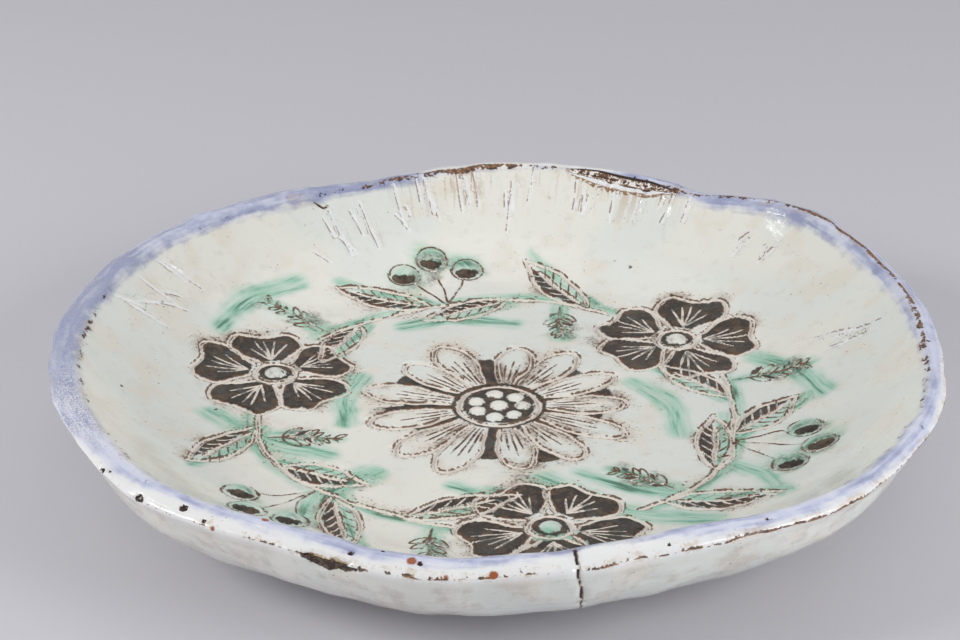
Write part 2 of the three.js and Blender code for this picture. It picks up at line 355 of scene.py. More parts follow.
# scratches and damage on the wall and the rim: angles in degrees, sizes in millimetres
rimWear = {
    "combs": [  # first angle, last angle, count, inner radius, outer radius, slant
        (112, 123, 6, 152, 187, 5.0), (99, 108, 6, 163, 188, 4.0), (92, 96, 3, 160, 187, 2.0),
        (84, 90, 4, 158, 188, 0.0), (69, 78, 6, 168, 187, -1.0), (58, 66, 4, 166, 187, -2.0),
        (148, 165, 8, 160, 181, 9.0), (13, 19, 4, 150, 184, -12.0), (40, 50, 4, 168, 186, -3.0),
    ],
    "crackAngle": -81.8, "crackLean": 3.4, "crackWidth": 1.5,
    "slit": (60.5, 79.5, 4.2),          # the fold in the far rim: from, to, how far it hangs down inside
    "roll": (2.0, 0.95, 1.4),           # its roll's height and half width, the depth of the groove behind
    "thumb": (119, -1.5, 5.0, 1.5),     # a thumb's pit: angle, way past the inner edge, radius, depth
    "chip": (-109.0, 11.5, 1.02, 3.0),  # angle, half length, place across the lip, half width
    "pits": [  # angle, place across the lip, radius
        (-143, 0.86, 1.5), (-142, 0.72, 0.9), (-135, 0.9, 2.4), (-129, 0.62, 1.9), (-125.5, 0.8, 1.1),
        (-107, 0.55, 1.3), (-99, 0.52, 1.2), (-103.5, 0.15, 1.0), (-71, 0.7, 0.9), (-58, 0.5, 0.9),
        (133, 0.5, 0.9), (-3, 0.3, 1.3),
    ],
    "rust": [(-119, 0.12, 1.5), (-100, 0.45, 1.9), (-91, 0.85, 1.7), (-124, 0.95, 0.9), (-96, 0.9, 0.8)],
}
for first, last, count, near, far, slant in rimWear["combs"]:
    for i in range(count):
        seed = first * 3 + i
        angle = math.radians(first + (last - first) * (i + 0.5 + 0.6 * wobble(seed)) / count)
        r0 = near + (far - near) * 0.35 * (1 + wobble(seed + 1)) * 0.8
        r1 = min(far + 3, r0 + (far - near) * (0.6 + 0.35 * wobble(seed + 2)))
        lean = (slant + 3 * wobble(seed + 3)) / r1
        places = [polar(r0, angle), polar((r0 + r1) / 2, angle + lean * 0.4), polar(r1, angle + lean)]
        addStroke(scratches, places, 900 + seed, 0.2, 0.2)


# rows of the plate's mesh from the middle of the face to the middle of the back
def plateRows():
    s = plateShape
    rows = []  # kind, value, points round the row
    full = s["ringCount"]
    for radius in np.arange(0, s["flatFloorRadius"], s["ringGap"]):
        count = full // 8 if radius < 14 else full // 4 if radius < 29 else full // 2 if radius < 60 else full
        rows.append(("face", radius - s["flatFloorRadius"], count))
    span = s["rimRadius"] - s["lipThickness"] - s["flatFloorRadius"]
    for share in np.linspace(0, 1, int(span / s["ringGap"])):
        rows.append(("wallIn", share, full))
    for share in np.linspace(0, 1, 13)[1:]:
        rows.append(("lip", share, full))
    rows.append(("under", 0.5, full))
    for phi in np.linspace(0, 1, 26):
        rows.append(("wallOut", phi, full if phi < 0.62 else full // 2))
    foot, recess = s["footRadius"], s["footRecess"]
    hollow = foot - s["footWidth"]
    profile = [(foot, 2.4), (foot - 0.5, 0.7), (foot - 1.6, 0), (foot - s["footWidth"] / 2, 0), (hollow, 0),
               (hollow - 0.7, 0.9), (hollow - 1.6, recess), (60, recess), (0, recess)]
    for radius, height in profile:
        rows.append(("foot", (radius, height), full // 2))
    return rows


def rowPoints(kind, value, theta):
    s = plateShape
    outer, thickness, top, inner = lipAt(theta)
    even = np.ones_like(theta)
    if kind == "face":
        radius = value + s["flatFloorRadius"]
        return radius * even, s["floorHeight"] * even, radius - inner
    if kind == "wallIn":
        radius = s["flatFloorRadius"] + value * (inner - s["flatFloorRadius"])
        return radius, faceHeight(radius, theta), radius - inner
    if kind == "lip":
        drop = s["innerEdgeDrop"] + value * (s["outerEdgeDrop"] - s["innerEdgeDrop"])
        return (inner + value * thickness, top - drop + s["lipCrown"] * (1 - (2 * value - 1) ** 2),
                value * s["lipThickness"] * even)
    overhang = s["overhangFront"] + (s["overhangSide"] - s["overhangFront"]) * np.cos(theta) ** 2
    neck, neckHeight = outer - overhang, top - s["outerEdgeDrop"] - s["overhangDrop"]
    if kind == "under":
        return (outer - value * overhang, top - s["outerEdgeDrop"] - value * s["overhangDrop"],
                (s["lipThickness"] + 1) * even)
    if kind == "wallOut":
        phi = value * math.pi / 2
        return (s["footRadius"] + (neck - s["footRadius"]) * math.cos(phi),
                s["footHeight"] + (neckHeight - s["footHeight"]) * (1 - math.sin(phi)),
                (s["lipThickness"] + 2 + 60 * value) * even)
    return value[0] * even, value[1] * even, 90 * even


def around(count):
    return np.arange(count) / count * 2 * math.pi - math.pi / 2


def buildGrid():
    rows = plateRows()
    rings = [list(rowPoints(kind, value, around(count))) for kind, value, count in rows]
    # round the lip's two edges by easing each ring towards its neighbours
    first = next(i for i, row in enumerate(rows) if row[0] == "lip")
    for turn in range(4):
        eased = [[ring[0].copy(), ring[1].copy()] for ring in rings]
        for i in range(first - 3, first + 18):
            for c in (0, 1):
                if len(rings[i - 1][c]) == len(rings[i][c]) == len(rings[i + 1][c]):
                    eased[i][c] = 0.25 * rings[i - 1][c] + 0.5 * rings[i][c] + 0.25 * rings[i + 1][c]
        for i, ring in enumerate(eased):
            rings[i][0], rings[i][1] = ring
    points, lip, starts, faces = [], [], [], []
    for (kind, value, count), (radius, height, across) in zip(rows, rings):
        starts.append(len(points))
        pole = kind in ("face", "foot") and radius.max() < 1e-6
        for i, theta in enumerate(around(count)[:1 if pole else count]):
            points.append((radius[i] * math.cos(theta), radius[i] * math.sin(theta), height[i]))
            lip.append(across[i])
    for k in range(len(rows) - 1):
        a, b = starts[k], starts[k + 1]
        n, m = starts[k + 1] - a, (starts[k + 2] if k + 2 < len(starts) else len(points)) - b
        if n == 1:
            faces += [(a, b + i, b + (i + 1) % m) for i in range(m)]
        elif m == 1:
            faces += [(a + i, b, a + (i + 1) % n) for i in range(n)]
        elif n == m:
            for i in range(n):
                j = (i + 1) % n
                faces += [(a + i, b + i, b + j), (a + i, b + j, a + j)]
        elif m == 2 * n:
            for i in range(n):
                j, p, q, r = (i + 1) % n, 2 * i, 2 * i + 1, (2 * i + 2) % m
                faces += [(a + i, b + p, b + q), (a + i, b + q, a + j), (a + j, b + q, b + r)]
        else:
            for i in range(m):
                j, p, q, r = (i + 1) % m, 2 * i, 2 * i + 1, (2 * i + 2) % n
                faces += [(b + i, a + q, a + p), (b + i, b + j, a + q), (b + j, a + r, a + q)]
    return np.array(points), np.array(lip), faces


# a place on the rim, for the damage
def rimSpot(kind, angle, share):
    theta = np.array([math.radians(angle)])
    radius, height, lip = rowPoints(kind, share, theta)
    return np.array([radius[0] * math.cos(theta[0]), radius[0] * math.sin(theta[0]), height[0]])


def lipSpot(angle, across):
    return np.array(surface.find_nearest(rimSpot("lip", angle, across))[0])


def crackLine():
    line = []
    for k, across in enumerate(np.linspace(-0.02, 1, 9)):
        line.append(lipSpot(rimWear["crackAngle"] + 0.12 * wobble(k + 310), max(0, across)))
    for k, share in enumerate(np.linspace(0.02, 0.72, 12)):
        angle = rimWear["crackAngle"] + 0.14 * wobble(k + 330) + rimWear["crackLean"] * share
        line.append(rimSpot("wallOut", angle, share))
    line = np.array([surface.find_nearest(p)[0] for p in smoothLine(line, 0.8)])
    return line, np.linspace(0.95, 0.35, len(line)) * (0.85 + 0.15 * np.sin(np.arange(len(line)) / 4.0))


# how far the fold's edge is from the lip's inner edge, negative down the wall
def slitPast(degrees):
    start, stop, hang = rimWear["slit"]
    share = np.clip((degrees - start) / (stop - start), 0, 1)
    return 0.8 - hang * np.sin(math.pi * share ** 0.8) ** 0.8


def slitLine():
    start, stop = rimWear["slit"][:2]
    turns = np.radians(np.linspace(start, stop, 24))
    places = np.array([polar(lipAt(a)[3] + slitPast(math.degrees(a)), a) for a in turns])
    line = onFace(smoothLine(places, 0.8))
    return line, np.clip(np.minimum(np.arange(len(line)), np.arange(len(line))[::-1]) / 12, 0.2, 1)


def thumbLine():
    angle, past, size = rimWear["thumb"][:3]
    theta = math.radians(angle)
    middle = polar(lipAt(theta)[3] + past, theta)
    ring = [middle + polar(size * (1 if k % 2 else 0.9), a) for k, a in enumerate(np.linspace(1.2, 5.6, 9))]
    line = onFace(smoothLine(ring, 0.8))
    return line, np.linspace(0.25, 0.7, len(line))


def onFace(line, raised=True):
    radius, theta = np.hypot(line[:, 0], line[:, 1]), np.arctan2(line[:, 1], line[:, 0])
    return np.column_stack([line, faceHeight(radius, theta) + (domeHeight(line) if raised else 0)])


def domeHeight(spots):
    height = np.zeros(len(spots))
    for centre, radius, rise in domes:
        far = np.linalg.norm(spots - centre, axis=1) / radius
        height = np.maximum(height, rise * np.clip(1 - far ** 2, 0, 1) ** 0.62)
    return height


def treeOf(points):
    tree = kdtree.KDTree(len(points))
    for i, p in enumerate(points):
        tree.insert(p, i)
    tree.balance()
    return tree


points, lip, faces = buildGrid()
surface = BVHTree.FromPolygons(points.tolist(), faces)
cracks += [crackLine(), slitLine(), thumbLine()]
plateMesh = bpy.data.meshes.new("plate")
plateMesh.from_pydata(points.tolist(), [], faces)
plateMesh.attributes.new("lip", "FLOAT", "POINT").data.foreach_set("value", lip)


# places spread over a round mark, so that the mesh is fine all over it
def discSpots(radius, gap=1.2):
    rings = [(r, a) for r in np.arange(0, radius + gap, gap)
             for a in np.linspace(0, 2 * math.pi, max(1, int(2 * math.pi * r / gap)), False)]
    return np.array([polar(r, a) for r, a in rings])


finePoints = [onFace(line) for line, press in gouges + needles + scratches] + [line for line, press in cracks]
for centre, size, rise in domes:
    finePoints.append(onFace(centre + discSpots(size), raised=False))
for angle, across, size in rimWear["pits"] + rimWear["rust"]:
    for along, past in discSpots(size):
        place = min(1.0, max(0.0, across + past / plateShape["lipThickness"]))
        finePoints.append(lipSpot(angle + math.degrees(along / plateShape["rimRadius"]), place)[None])
chipAngle, chipLong, chipAcross, chipWide = rimWear["chip"]
chipTurn = math.degrees(chipLong / plateShape["rimRadius"])
chipSpots = [lipSpot(chipAngle + t * chipTurn, chipAcross) for t in np.linspace(-1.1, 1.1, 30)]
finePoints.append(np.array(chipSpots))
fineTree = treeOf(np.vstack(finePoints))

work = bmesh.new()
work.from_mesh(plateMesh)
for reach in plateShape["fineReach"]:
    near = {v: fineTree.find(v.co)[2] for v in work.verts}
    chosen = [e for e in work.edges if near[e.verts[0]] < reach and near[e.verts[1]] < reach]
    bmesh.ops.subdivide_edges(work, edges=chosen, cuts=1, use_grid_fill=True)
    bmesh.ops.triangulate(work, faces=work.faces[:])
work.to_mesh(plateMesh)
work.free()
print("plate mesh", len(plateMesh.polygons), "triangles")


# fields on the finished points that the carving and the glaze read
def insideBy(outline, spots):
    a, b = outline, np.roll(outline, -1, axis=0)
    run = b - a
    gap = spots[:, None, :] - a[None]
    t = np.clip((gap * run).sum(2) / np.maximum(1e-9, (run * run).sum(1)), 0, 1)
    far = np.linalg.norm(gap - t[..., None] * run, axis=2).min(1)
    x, y = spots[:, :1], spots[:, 1:]
    steep = np.where(np.abs(run[:, 1]) < 1e-9, 1e-9, run[:, 1])
    crossed = ((a[:, 1] > y) != (b[:, 1] > y)) & (x < run[:, 0] * (y - a[:, 1]) / steep + a[:, 0])
    return np.where(crossed.sum(1) % 2 == 1, far, -far)


def nearTo(line, spots, margin):
    lo, hi = line.min(0) - margin, line.max(0) + margin
    return np.where(((spots > lo) & (spots < hi)).all(1))[0]


def awayFrom(line, spots):
    a, run = line[:-1], np.diff(line, axis=0)
    long = np.maximum(1e-9, np.linalg.norm(run, axis=1))
    gap = spots[:, None, :] - a[None]
    t = np.clip((gap * run).sum(2) / long ** 2, 0, 1)
    apart = np.linalg.norm(gap - t[..., None] * run, axis=2)
    best = apart.argmin(1)
    pick = np.arange(len(spots)), best
    across = (run[best, 0] * gap[pick][:, 1] - run[best, 1] * gap[pick][:, 0]) / long[best]
    along = np.concatenate([[0], np.cumsum(long)])[best] + t[pick] * long[best]
    return apart[pick], across, along


count = len(plateMesh.vertices)
co = np.zeros(count * 3)
plateMesh.vertices.foreach_get("co", co)
co = co.reshape(-1, 3)
lip = np.zeros(count)
plateMesh.attributes["lip"].data.foreach_get("value", lip)
spots = co[:, :2].copy()
radius, theta = np.hypot(spots[:, 0], spots[:, 1]), np.arctan2(spots[:, 1], spots[:, 0])
upper = (co[:, 2] > faceHeight(radius, theta) - 2.0) & (lip < 0)
inFace = np.where(upper & (lip < -7))[0]
co[inFace, 2] = faceHeight(radius[inFace], theta[inFace]) + domeHeight(spots[inFace])

dark = np.full(count, -15.0)


def paintDark(index, value):
    dark[index] = np.maximum(dark[index], value)


for outline, inset in darkShapes:
    index = inFace[nearTo(outline, spots[inFace], 12)]
    paintDark(index, insideBy(outline, spots[index]) - inset)
daisy, bead = wreath["daisy"], wreath["bead"]
index = inFace[radius[inFace] < daisy["tip"] * 1.2]
white = np.full(len(index), -15.0)
for outline in whiteShapes:
    white = np.maximum(white, insideBy(outline, spots[index]))
gapOf = np.floor(theta[index] / (2 * math.pi) * daisy["petals"]).astype(int)
gapTip = daisy["tip"] * (0.8 + 0.13 * np.array([wobble(i + 150) for i in range(-20, 20)])[gapOf + 20])
inGap = np.minimum(gapTip - radius[index], radius[index] - daisy["disc"] - 0.8)
paintDark(index, np.minimum(inGap, -white - 0.4))
index = inFace[radius[inFace] < daisy["disc"] + 8]
beads = domes[:bead["count"] + 1]
clear = np.min([np.linalg.norm(spots[index] - centre, axis=1) - size for centre, size, rise in beads], axis=0)
paintDark(index, np.minimum(daisy["disc"] - 1.2 - radius[index], clear - 0.2))
for rose in wreath["roseAngles"]:
    gap = np.linalg.norm(spots[inFace] - polar(wreath["radius"], math.radians(rose)), axis=1)
    paintDark(inFace, np.where(gap < 20, np.minimum(wreath["rose"]["disc"] - 1.0 - gap, gap - 4.8), -15))

for place, size in smudges:
    gap = np.linalg.norm(spots[inFace] - place, axis=1)
    paintDark(inFace, -1.0 - np.maximum(0, gap - 0.25 * size) * 7 / size)

# strength of each brush stroke, and the way along and across it for its streaks
green, brush = np.full(count, -1.0), np.zeros((count, 3))
for number, (line, half, strength) in enumerate(washes):
    index = inFace[nearTo(line, spots[inFace], half * 1.8)]
    apart, across, along = awayFrom(line, spots[index])
    tone = strength * np.clip(1 - apart / half, -1, 1)
    better = index[tone > green[index]]
    brush[better] = np.column_stack([across, along, np.full(len(index), 7.3 * number)])[tone > green[index]]
    green[index] = np.maximum(green[index], tone)

# which side of a scratch a point lies on, for the painted shade along one side of it
scratchSide = np.full(count, 20.0)
onWall = np.where((lip < 3) & (radius > 120) & (co[:, 2] > 14))[0]
for line, press in scratches:
    index = onWall[nearTo(line, spots[onWall], 4)]
    apart, across, along = awayFrom(line, spots[index])
    length = np.linalg.norm(np.diff(line, axis=0), axis=1).sum()
    inReach = (along > 0.5) & (along < length - 0.5) & (apart < 3.5)
    inReach &= apart < np.abs(scratchSide[index])
    scratchSide[index[inReach]] = across[inReach]

degrees = np.degrees(theta)


# how the marks of the rim swell and fade round it: a base, then amount, angle and spread of each swell
rimSwells = {
    "lilacIn": (0.2, [(-4.0, 125, 26), (-5.0, 42, 22), (-3.0, 10, 16), (-2.0, 160, 25)]),
    "lilacOut": (8.2, [(11, 176, 36), (5, 135, 25), (4, 40, 24), (4, 8, 16), (-4.5, -78, 8), (-8.0, 92, 14),
                       (-5.0, 74, 8), (4, -30, 7), (2, -60, 12), (-2.6, -134, 16)]),
    "grain": (0.0, [(1.0, 203, 12), (0.2, 170, 24)]),
    "runs": (0.0, [(0.75, 96, 9), (0.8, 70, 9)]),
    "blue": (0.0, [(0.62, 182, 24), (0.12, 42, 22), (0.1, 120, 22), (-0.1, 0, 22)]),
    "outerWear": (0.42, [(0.18, 95, 14), (0.19, -50, 22), (0.1, -95, 20), (0.1, -20, 12), (-0.14, 178, 40),
                         (-0.06, -150, 20)]),
    "innerWear": (0.32, [(0.31, 28, 28), (0.08, -165, 22), (0.3, 96, 13), (0.14, -5, 14), (-0.1, 145, 20)]),
    "wearAt": (0.3, [(3.4, 30, 34), (1.2, 98, 16)]),  # the inner wear's place across the lip
}


def roundRim(name):
    total, swells = rimSwells[name]
    for amount, angle, spread in swells:
        total = total + amount * swell(degrees, angle, spread)
    return total


lilac = np.minimum(lip - roundRim("lilacIn"), roundRim("lilacOut") - lip)
runs = roundRim("runs") * np.clip((lip + 22) / 16, 0, 1) * np.clip(-lip / 2, 0, 1)

pit, rust = np.full(count, 20.0), np.full(count, 20.0)
for field, marks in ((pit, rimWear["pits"]), (rust, rimWear["rust"])):
    for angle, across, size in marks:
        np.minimum(field, np.linalg.norm(co - lipSpot(angle, across), axis=1) - size, out=field)
sideways = (theta - math.radians(chipAngle)) * plateShape["rimRadius"]
chip = 1 - np.hypot(sideways / chipLong, (lip - chipAcross * plateShape["lipThickness"]) / chipWide)
ragged = chip + 0.2 * np.sin(sideways * 0.5 + lip * 1.6)
chip = np.where((np.abs(sideways) < 40) & (lip > 2) & (lip < 26), ragged, -3)

# the roll of clay folded over in front of the slit in the far rim
slitFrom, slitTo = rimWear["slit"][:2]
rollHeight, rollWidth, grooveDepth = rimWear["roll"]
inSlit = np.clip(np.minimum(degrees - slitFrom, slitTo - degrees) / 5.0, 0, 1) ** 0.7 * (co[:, 2] > 30)
behind = lip - slitPast(degrees)
fold = np.where(lip < 6, behind / np.maximum(inSlit, 0.08), -20)
hump = rollHeight * np.exp(-((behind + 1.0) / rollWidth) ** 2)
roll = inSlit * (hump - grooveDepth * np.clip(behind, 0, 1) * np.clip((3 - lip) / 3, 0, 1))
co += roll[:, None] * np.column_stack([-0.6 * np.cos(theta), -0.6 * np.sin(theta), 0.8 * np.ones(count)])
thumbAt = thumbLine()[0].mean(0)
thumbSize, thumbDepth = rimWear["thumb"][2:]
co[:, 2] -= thumbDepth * np.clip(1 - (np.linalg.norm(co - thumbAt, axis=1) / thumbSize) ** 2, 0, 1)
plateMesh.vertices.foreach_set("co", (co * mm).ravel())
fields = {"lip": lip, "dark": dark, "green": green, "lilac": lilac}
fields.update({name: roundRim(name) for name in ("outerWear", "innerWear", "wearAt", "grain", "blue")})
fields.update({"runs": runs, "fold": fold, "inSlit": inSlit, "pit": pit, "scratchSide": scratchSide,
               "rust": rust, "chip": chip, "faceSide": upper.astype(float)})
for name, field in fields.items():
    if name not in plateMesh.attributes:
        plateMesh.attributes.new(name, "FLOAT", "POINT")
    plateMesh.attributes[name].data.foreach_set("value", field)
# millimetres along the rim and across it, without a seam
rimWay = np.column_stack([np.cos(theta), np.sin(theta), lip])
rimWay[:, :2] *= plateShape["rimRadius"]
for name, field in (("brush", brush), ("rimWay", rimWay)):
    plateMesh.attributes.new(name, "FLOAT_VECTOR", "POINT").data.foreach_set("vector", field.ravel())
plateMesh.update()
print("fields done")


# lines as bare edges for the carving to measure from
def lineObject(name, strokes):
    verts, edges, press = [], [], []
    for line, force in strokes:
        first = len(verts)
        placed = onFace(line) if line.shape[1] == 2 else line
        verts += (placed * mm).tolist()
        press += list(force)
        edges += [(first + i, first + i + 1) for i in range(len(line) - 1)]
    mesh = bpy.data.meshes.new(name)
    mesh.from_pydata(verts, edges, [])
    mesh.attributes.new("press", "FLOAT", "POINT").data.foreach_set("value", press)
    made = bpy.data.objects.new(name, mesh)
    bpy.context.scene.collection.objects.link(made)
    return made


def newTree(name, kind, inputs, outputs):
    tree = bpy.data.node_groups.new(name, kind)
    for label, kindOf, value in inputs:
        socket = tree.interface.new_socket(label, in_out="INPUT", socket_type="NodeSocket" + kindOf)
        if value is not None:
            socket.default_value = value
    for label, kindOf in outputs:
        tree.interface.new_socket(label, in_out="OUTPUT", socket_type="NodeSocket" + kindOf)
    return tree, tree.nodes.new("NodeGroupInput").outputs, tree.nodes.new("NodeGroupOutput").inputs


# adds a node, sets its properties, and joins or sets its inputs by number or name
def put(tree, kind, inputs=None, **props):
    node = tree.nodes.new(kind)
    for key, value in props.items():
        setattr(node, key, value)
    for key, value in (inputs or {}).items():
        if isinstance(value, bpy.types.NodeSocket):
            tree.links.new(value, node.inputs[key])
        else:
            node.inputs[key].default_value = value
    return node


def sums(tree, operation, a, b=0.0, c=0.0):
    return put(tree, "ShaderNodeMath", {0: a, 1: b, 2: c}, operation=operation).outputs[0]


def stack(tree, operation, *values):
    total = values[0]
    for value in values[1:]:
        total = sums(tree, operation, total, value)
    return total


def ease(tree, value, low, high, bottom=0.0, top=1.0):
    return put(tree, "ShaderNodeMapRange", {0: value, 1: low, 2: high, 3: bottom, 4: top},
               interpolation_type="SMOOTHSTEP").outputs[0]


# from nothing to full over a given width
def sharp(tree, value, width):
    return put(tree, "ShaderNodeMath", {0: value, 1: width}, operation="DIVIDE", use_clamp=True).outputs[0]


def stretched(tree, vector, scales):
    return put(tree, "ShaderNodeVectorMath", {0: vector, 1: scales}, operation="MULTIPLY").outputs[0]


def noiseOf(tree, vector, scale, detail=2.0, rough=0.55):
    inputs = {"Vector": vector, "Scale": scale, "Detail": detail, "Roughness": rough}
    return put(tree, "ShaderNodeTexNoise", inputs).outputs[0]


# a field stored on the points, for the carving and for the glaze
def named(tree, name):
    return put(tree, "GeometryNodeInputNamedAttribute", {"Name": name}, data_type="FLOAT").outputs[0]


def fieldOf(tree, name, kind="Fac"):
    return put(tree, "ShaderNodeAttribute", attribute_name=name).outputs[kind]


# adds a noise, centred on nothing and turned up, to a field
def roughen(tree, field, *noises):
    for noise, amount in noises:
        field = sums(tree, "MULTIPLY_ADD", sums(tree, "SUBTRACT", noise, 0.5), amount, field)
    return field


# how far a point lies beyond the edge of a stroke, and how far the stroke shifts it
def strokeTree():
    tree, given, made = newTree("strokeField", "GeometryNodeTree", [
        ("Strokes", "Object", None), ("Half width", "Float", 1.5),
        ("Wander", "Float", 0.3), ("Depth", "Float", 0.9), ("Burr", "Float", 0.25),
    ], [("Beyond", "Float"), ("Shift", "Float")])
    lines = put(tree, "GeometryNodeObjectInfo", {"Object": given["Strokes"]}).outputs["Geometry"]
    spot = put(tree, "GeometryNodeInputPosition").outputs[0]
    apart = put(tree, "GeometryNodeProximity", {0: lines}, target_element="EDGES").outputs["Distance"]
    nearest = put(tree, "GeometryNodeSampleNearest", {"Geometry": lines}, domain="POINT").outputs[0]
    sample = {"Geometry": lines, "Value": named(tree, "press"), "Index": nearest}
    press = put(tree, "GeometryNodeSampleIndex", sample, data_type="FLOAT", domain="POINT").outputs[0]
    noise = put(tree, "ShaderNodeTexNoise", {"Vector": spot, "Scale": 420.0, "Detail": 2.0}).outputs[0]
    wander = sums(tree, "MULTIPLY", given["Wander"], 2.0)
    loose = sums(tree, "MULTIPLY", sums(tree, "SUBTRACT", noise, 0.5), wander)
    half = sums(tree, "MULTIPLY", given["Half width"], sums(tree, "MULTIPLY_ADD", press, 0.6, 0.4))
    beyond = sums(tree, "SUBTRACT", sums(tree, "MULTIPLY_ADD", apart, 1000.0, loose), half)
    cut = sums(tree, "MULTIPLY", ease(tree, sums(tree, "DIVIDE", beyond, half), 0.18, -0.85),
               sums(tree, "MULTIPLY", given["Depth"], press))
    ridge = ease(tree, sums(tree, "ABSOLUTE", sums(tree, "SUBTRACT", beyond, 0.55)), 0.6, 0.0)
    rise = sums(tree, "MULTIPLY", ridge, sums(tree, "MULTIPLY", given["Burr"], press))
    tree.links.new(beyond, made["Beyond"])
    tree.links.new(sums(tree, "SUBTRACT", rise, cut), made["Shift"])
    return tree


carving = {
    "gouge": {"Half width": wreath["gougeWidth"] / 2, "Wander": 0.45, "Depth": 1.35, "Burr": 0.5},
    "needle": {"Half width": wreath["needleWidth"] / 2, "Wander": 0.2, "Depth": 0.5, "Burr": 0.2},
    "scratch": {"Half width": 1.0, "Wander": 0.5, "Depth": 0.75, "Burr": 0.5},
    "crack": {"Half width": rimWear["crackWidth"] / 2, "Wander": 0.2, "Depth": 1.5, "Burr": 0.0},
}
clayLumps = {"Lumps": 0.9, "Lump size": 24.0, "Lip lumps": 4.0}


def carvingTree():
    field = strokeTree()
    inputs = [("Geometry", "Geometry", None), ("Glaze", "Material", None)]
    inputs += [(label, "Float", value) for label, value in clayLumps.items()]
    inputs += [(kind + " lines", "Object", None) for kind in carving]
    tree, given, made = newTree("carving", "GeometryNodeTree", inputs, [("Geometry", "Geometry")])
    flow, shift = given["Geometry"], None
    for kind, sizes in carving.items():
        group = put(tree, "GeometryNodeGroup", node_tree=field)
        tree.links.new(given[kind + " lines"], group.inputs["Strokes"])
        for label, value in sizes.items():
            group.inputs[label].default_value = value
        store = {"Geometry": flow, "Name": kind, "Value": group.outputs["Beyond"]}
        flow = put(tree, "GeometryNodeStoreNamedAttribute", store, data_type="FLOAT",
                   domain="POINT").outputs[0]
        shift = group.outputs["Shift"] if shift is None else sums(tree, "ADD", shift, group.outputs["Shift"])
    spot = put(tree, "GeometryNodeInputPosition").outputs[0]
    # slow lumps of the hand-pressed clay, and the pits and the chip
    grain = sums(tree, "DIVIDE", 1000.0, given["Lump size"])
    lump = put(tree, "ShaderNodeTexNoise", {"Vector": spot, "Scale": grain, "Detail": 1.2}).outputs[0]
    onLip = ease(tree, named(tree, "lip"), -8.0, 3.0, 1.0, given["Lip lumps"])
    lump = stack(tree, "MULTIPLY", sums(tree, "SUBTRACT", lump, 0.5), given["Lumps"], onLip)
    for name, low, high, depth in (("pit", 0.3, -0.9, -1.1), ("chip", -0.05, 0.25, -1.2)):
        shift = sums(tree, "ADD", shift, ease(tree, named(tree, name), low, high, 0.0, depth))
    z = put(tree, "ShaderNodeSeparateXYZ", {0: spot}).outputs[2]
    shift = sums(tree, "MULTIPLY", sums(tree, "ADD", shift, lump), ease(tree, z, 0.003, 0.006))
    normal = put(tree, "GeometryNodeInputNormal").outputs[0]
    push = put(tree, "ShaderNodeVectorMath", {0: normal, "Scale": sums(tree, "MULTIPLY", shift, mm)},
               operation="SCALE").outputs[0]
    flow = put(tree, "GeometryNodeSetPosition", {"Geometry": flow, "Offset": push}).outputs[0]
    flow = put(tree, "GeometryNodeRealizeInstances", {0: flow}).outputs[0]
    flow = put(tree, "GeometryNodeSetMaterial", {"Geometry": flow, "Material": given["Glaze"]}).outputs[0]
    tree.links.new(flow, made["Geometry"])
    return tree


def srgb(r, g, b):
    return tuple(c / 3294.6 if c <= 10.3 else ((c / 255 + 0.055) / 1.055) ** 2.4 for c in (r, g, b)) + (1.0,)


def blendOf(tree, factor, a, b, mode="MIX"):
    return put(tree, "ShaderNodeMix", {0: factor, 6: a, 7: b}, data_type="RGBA", blend_type=mode).outputs[2]


# a thin line that skips and swells along a given distance field
def brokenLineGroup():
    tree, given, made = newTree("brokenLine", "ShaderNodeTree", [
        ("Field", "Float", 0.0), ("Middle", "Float", 0.0), ("Half", "Float", 0.5),
        ("Cover", "Float", 0.5), ("Gaps", "Float", 0.5), ("Dots", "Float", 0.5),
    ], [("Mask", "Float")])
    bare = sums(tree, "SUBTRACT", 1.0, given["Cover"])
    mix = roughen(tree, given["Gaps"], (given["Dots"], 0.7))
    swell = ease(tree, sums(tree, "SUBTRACT", mix, bare), -0.1, 0.12)
    thick = sums(tree, "MULTIPLY", given["Half"], swell)
    apart = sums(tree, "ABSOLUTE", sums(tree, "SUBTRACT", given["Field"], given["Middle"]))
    tree.links.new(sharp(tree, sums(tree, "SUBTRACT", thick, apart), 0.3), made["Mask"])
    return tree


# small flecks, one to a chosen cell
def fleckGroup():
    tree, given, made = newTree("flecks", "ShaderNodeTree", [
        ("Vector", "Vector", None), ("Scale", "Float", 200.0), ("Cover", "Float", 0.2),
        ("Size", "Float", 0.3), ("Rough", "Float", 0.5)], [("Mask", "Float")])
    cells = put(tree, "ShaderNodeTexVoronoi", {"Vector": given["Vector"], "Scale": given["Scale"]})
    draw = put(tree, "ShaderNodeSeparateColor", {0: cells.outputs["Color"]}).outputs
    chosen = ease(tree, sums(tree, "ADD", draw[0], given["Cover"]), 0.97, 1.03)
    size = stack(tree, "MULTIPLY", given["Size"], chosen, sums(tree, "MULTIPLY_ADD", draw[1], 0.8, 0.3))
    away = roughen(tree, cells.outputs["Distance"], (given["Rough"], 0.5))
    mask = sharp(tree, sums(tree, "SUBTRACT", size, away), 0.06)
    tree.links.new(sums(tree, "MULTIPLY", mask, chosen), made["Mask"])
    return tree


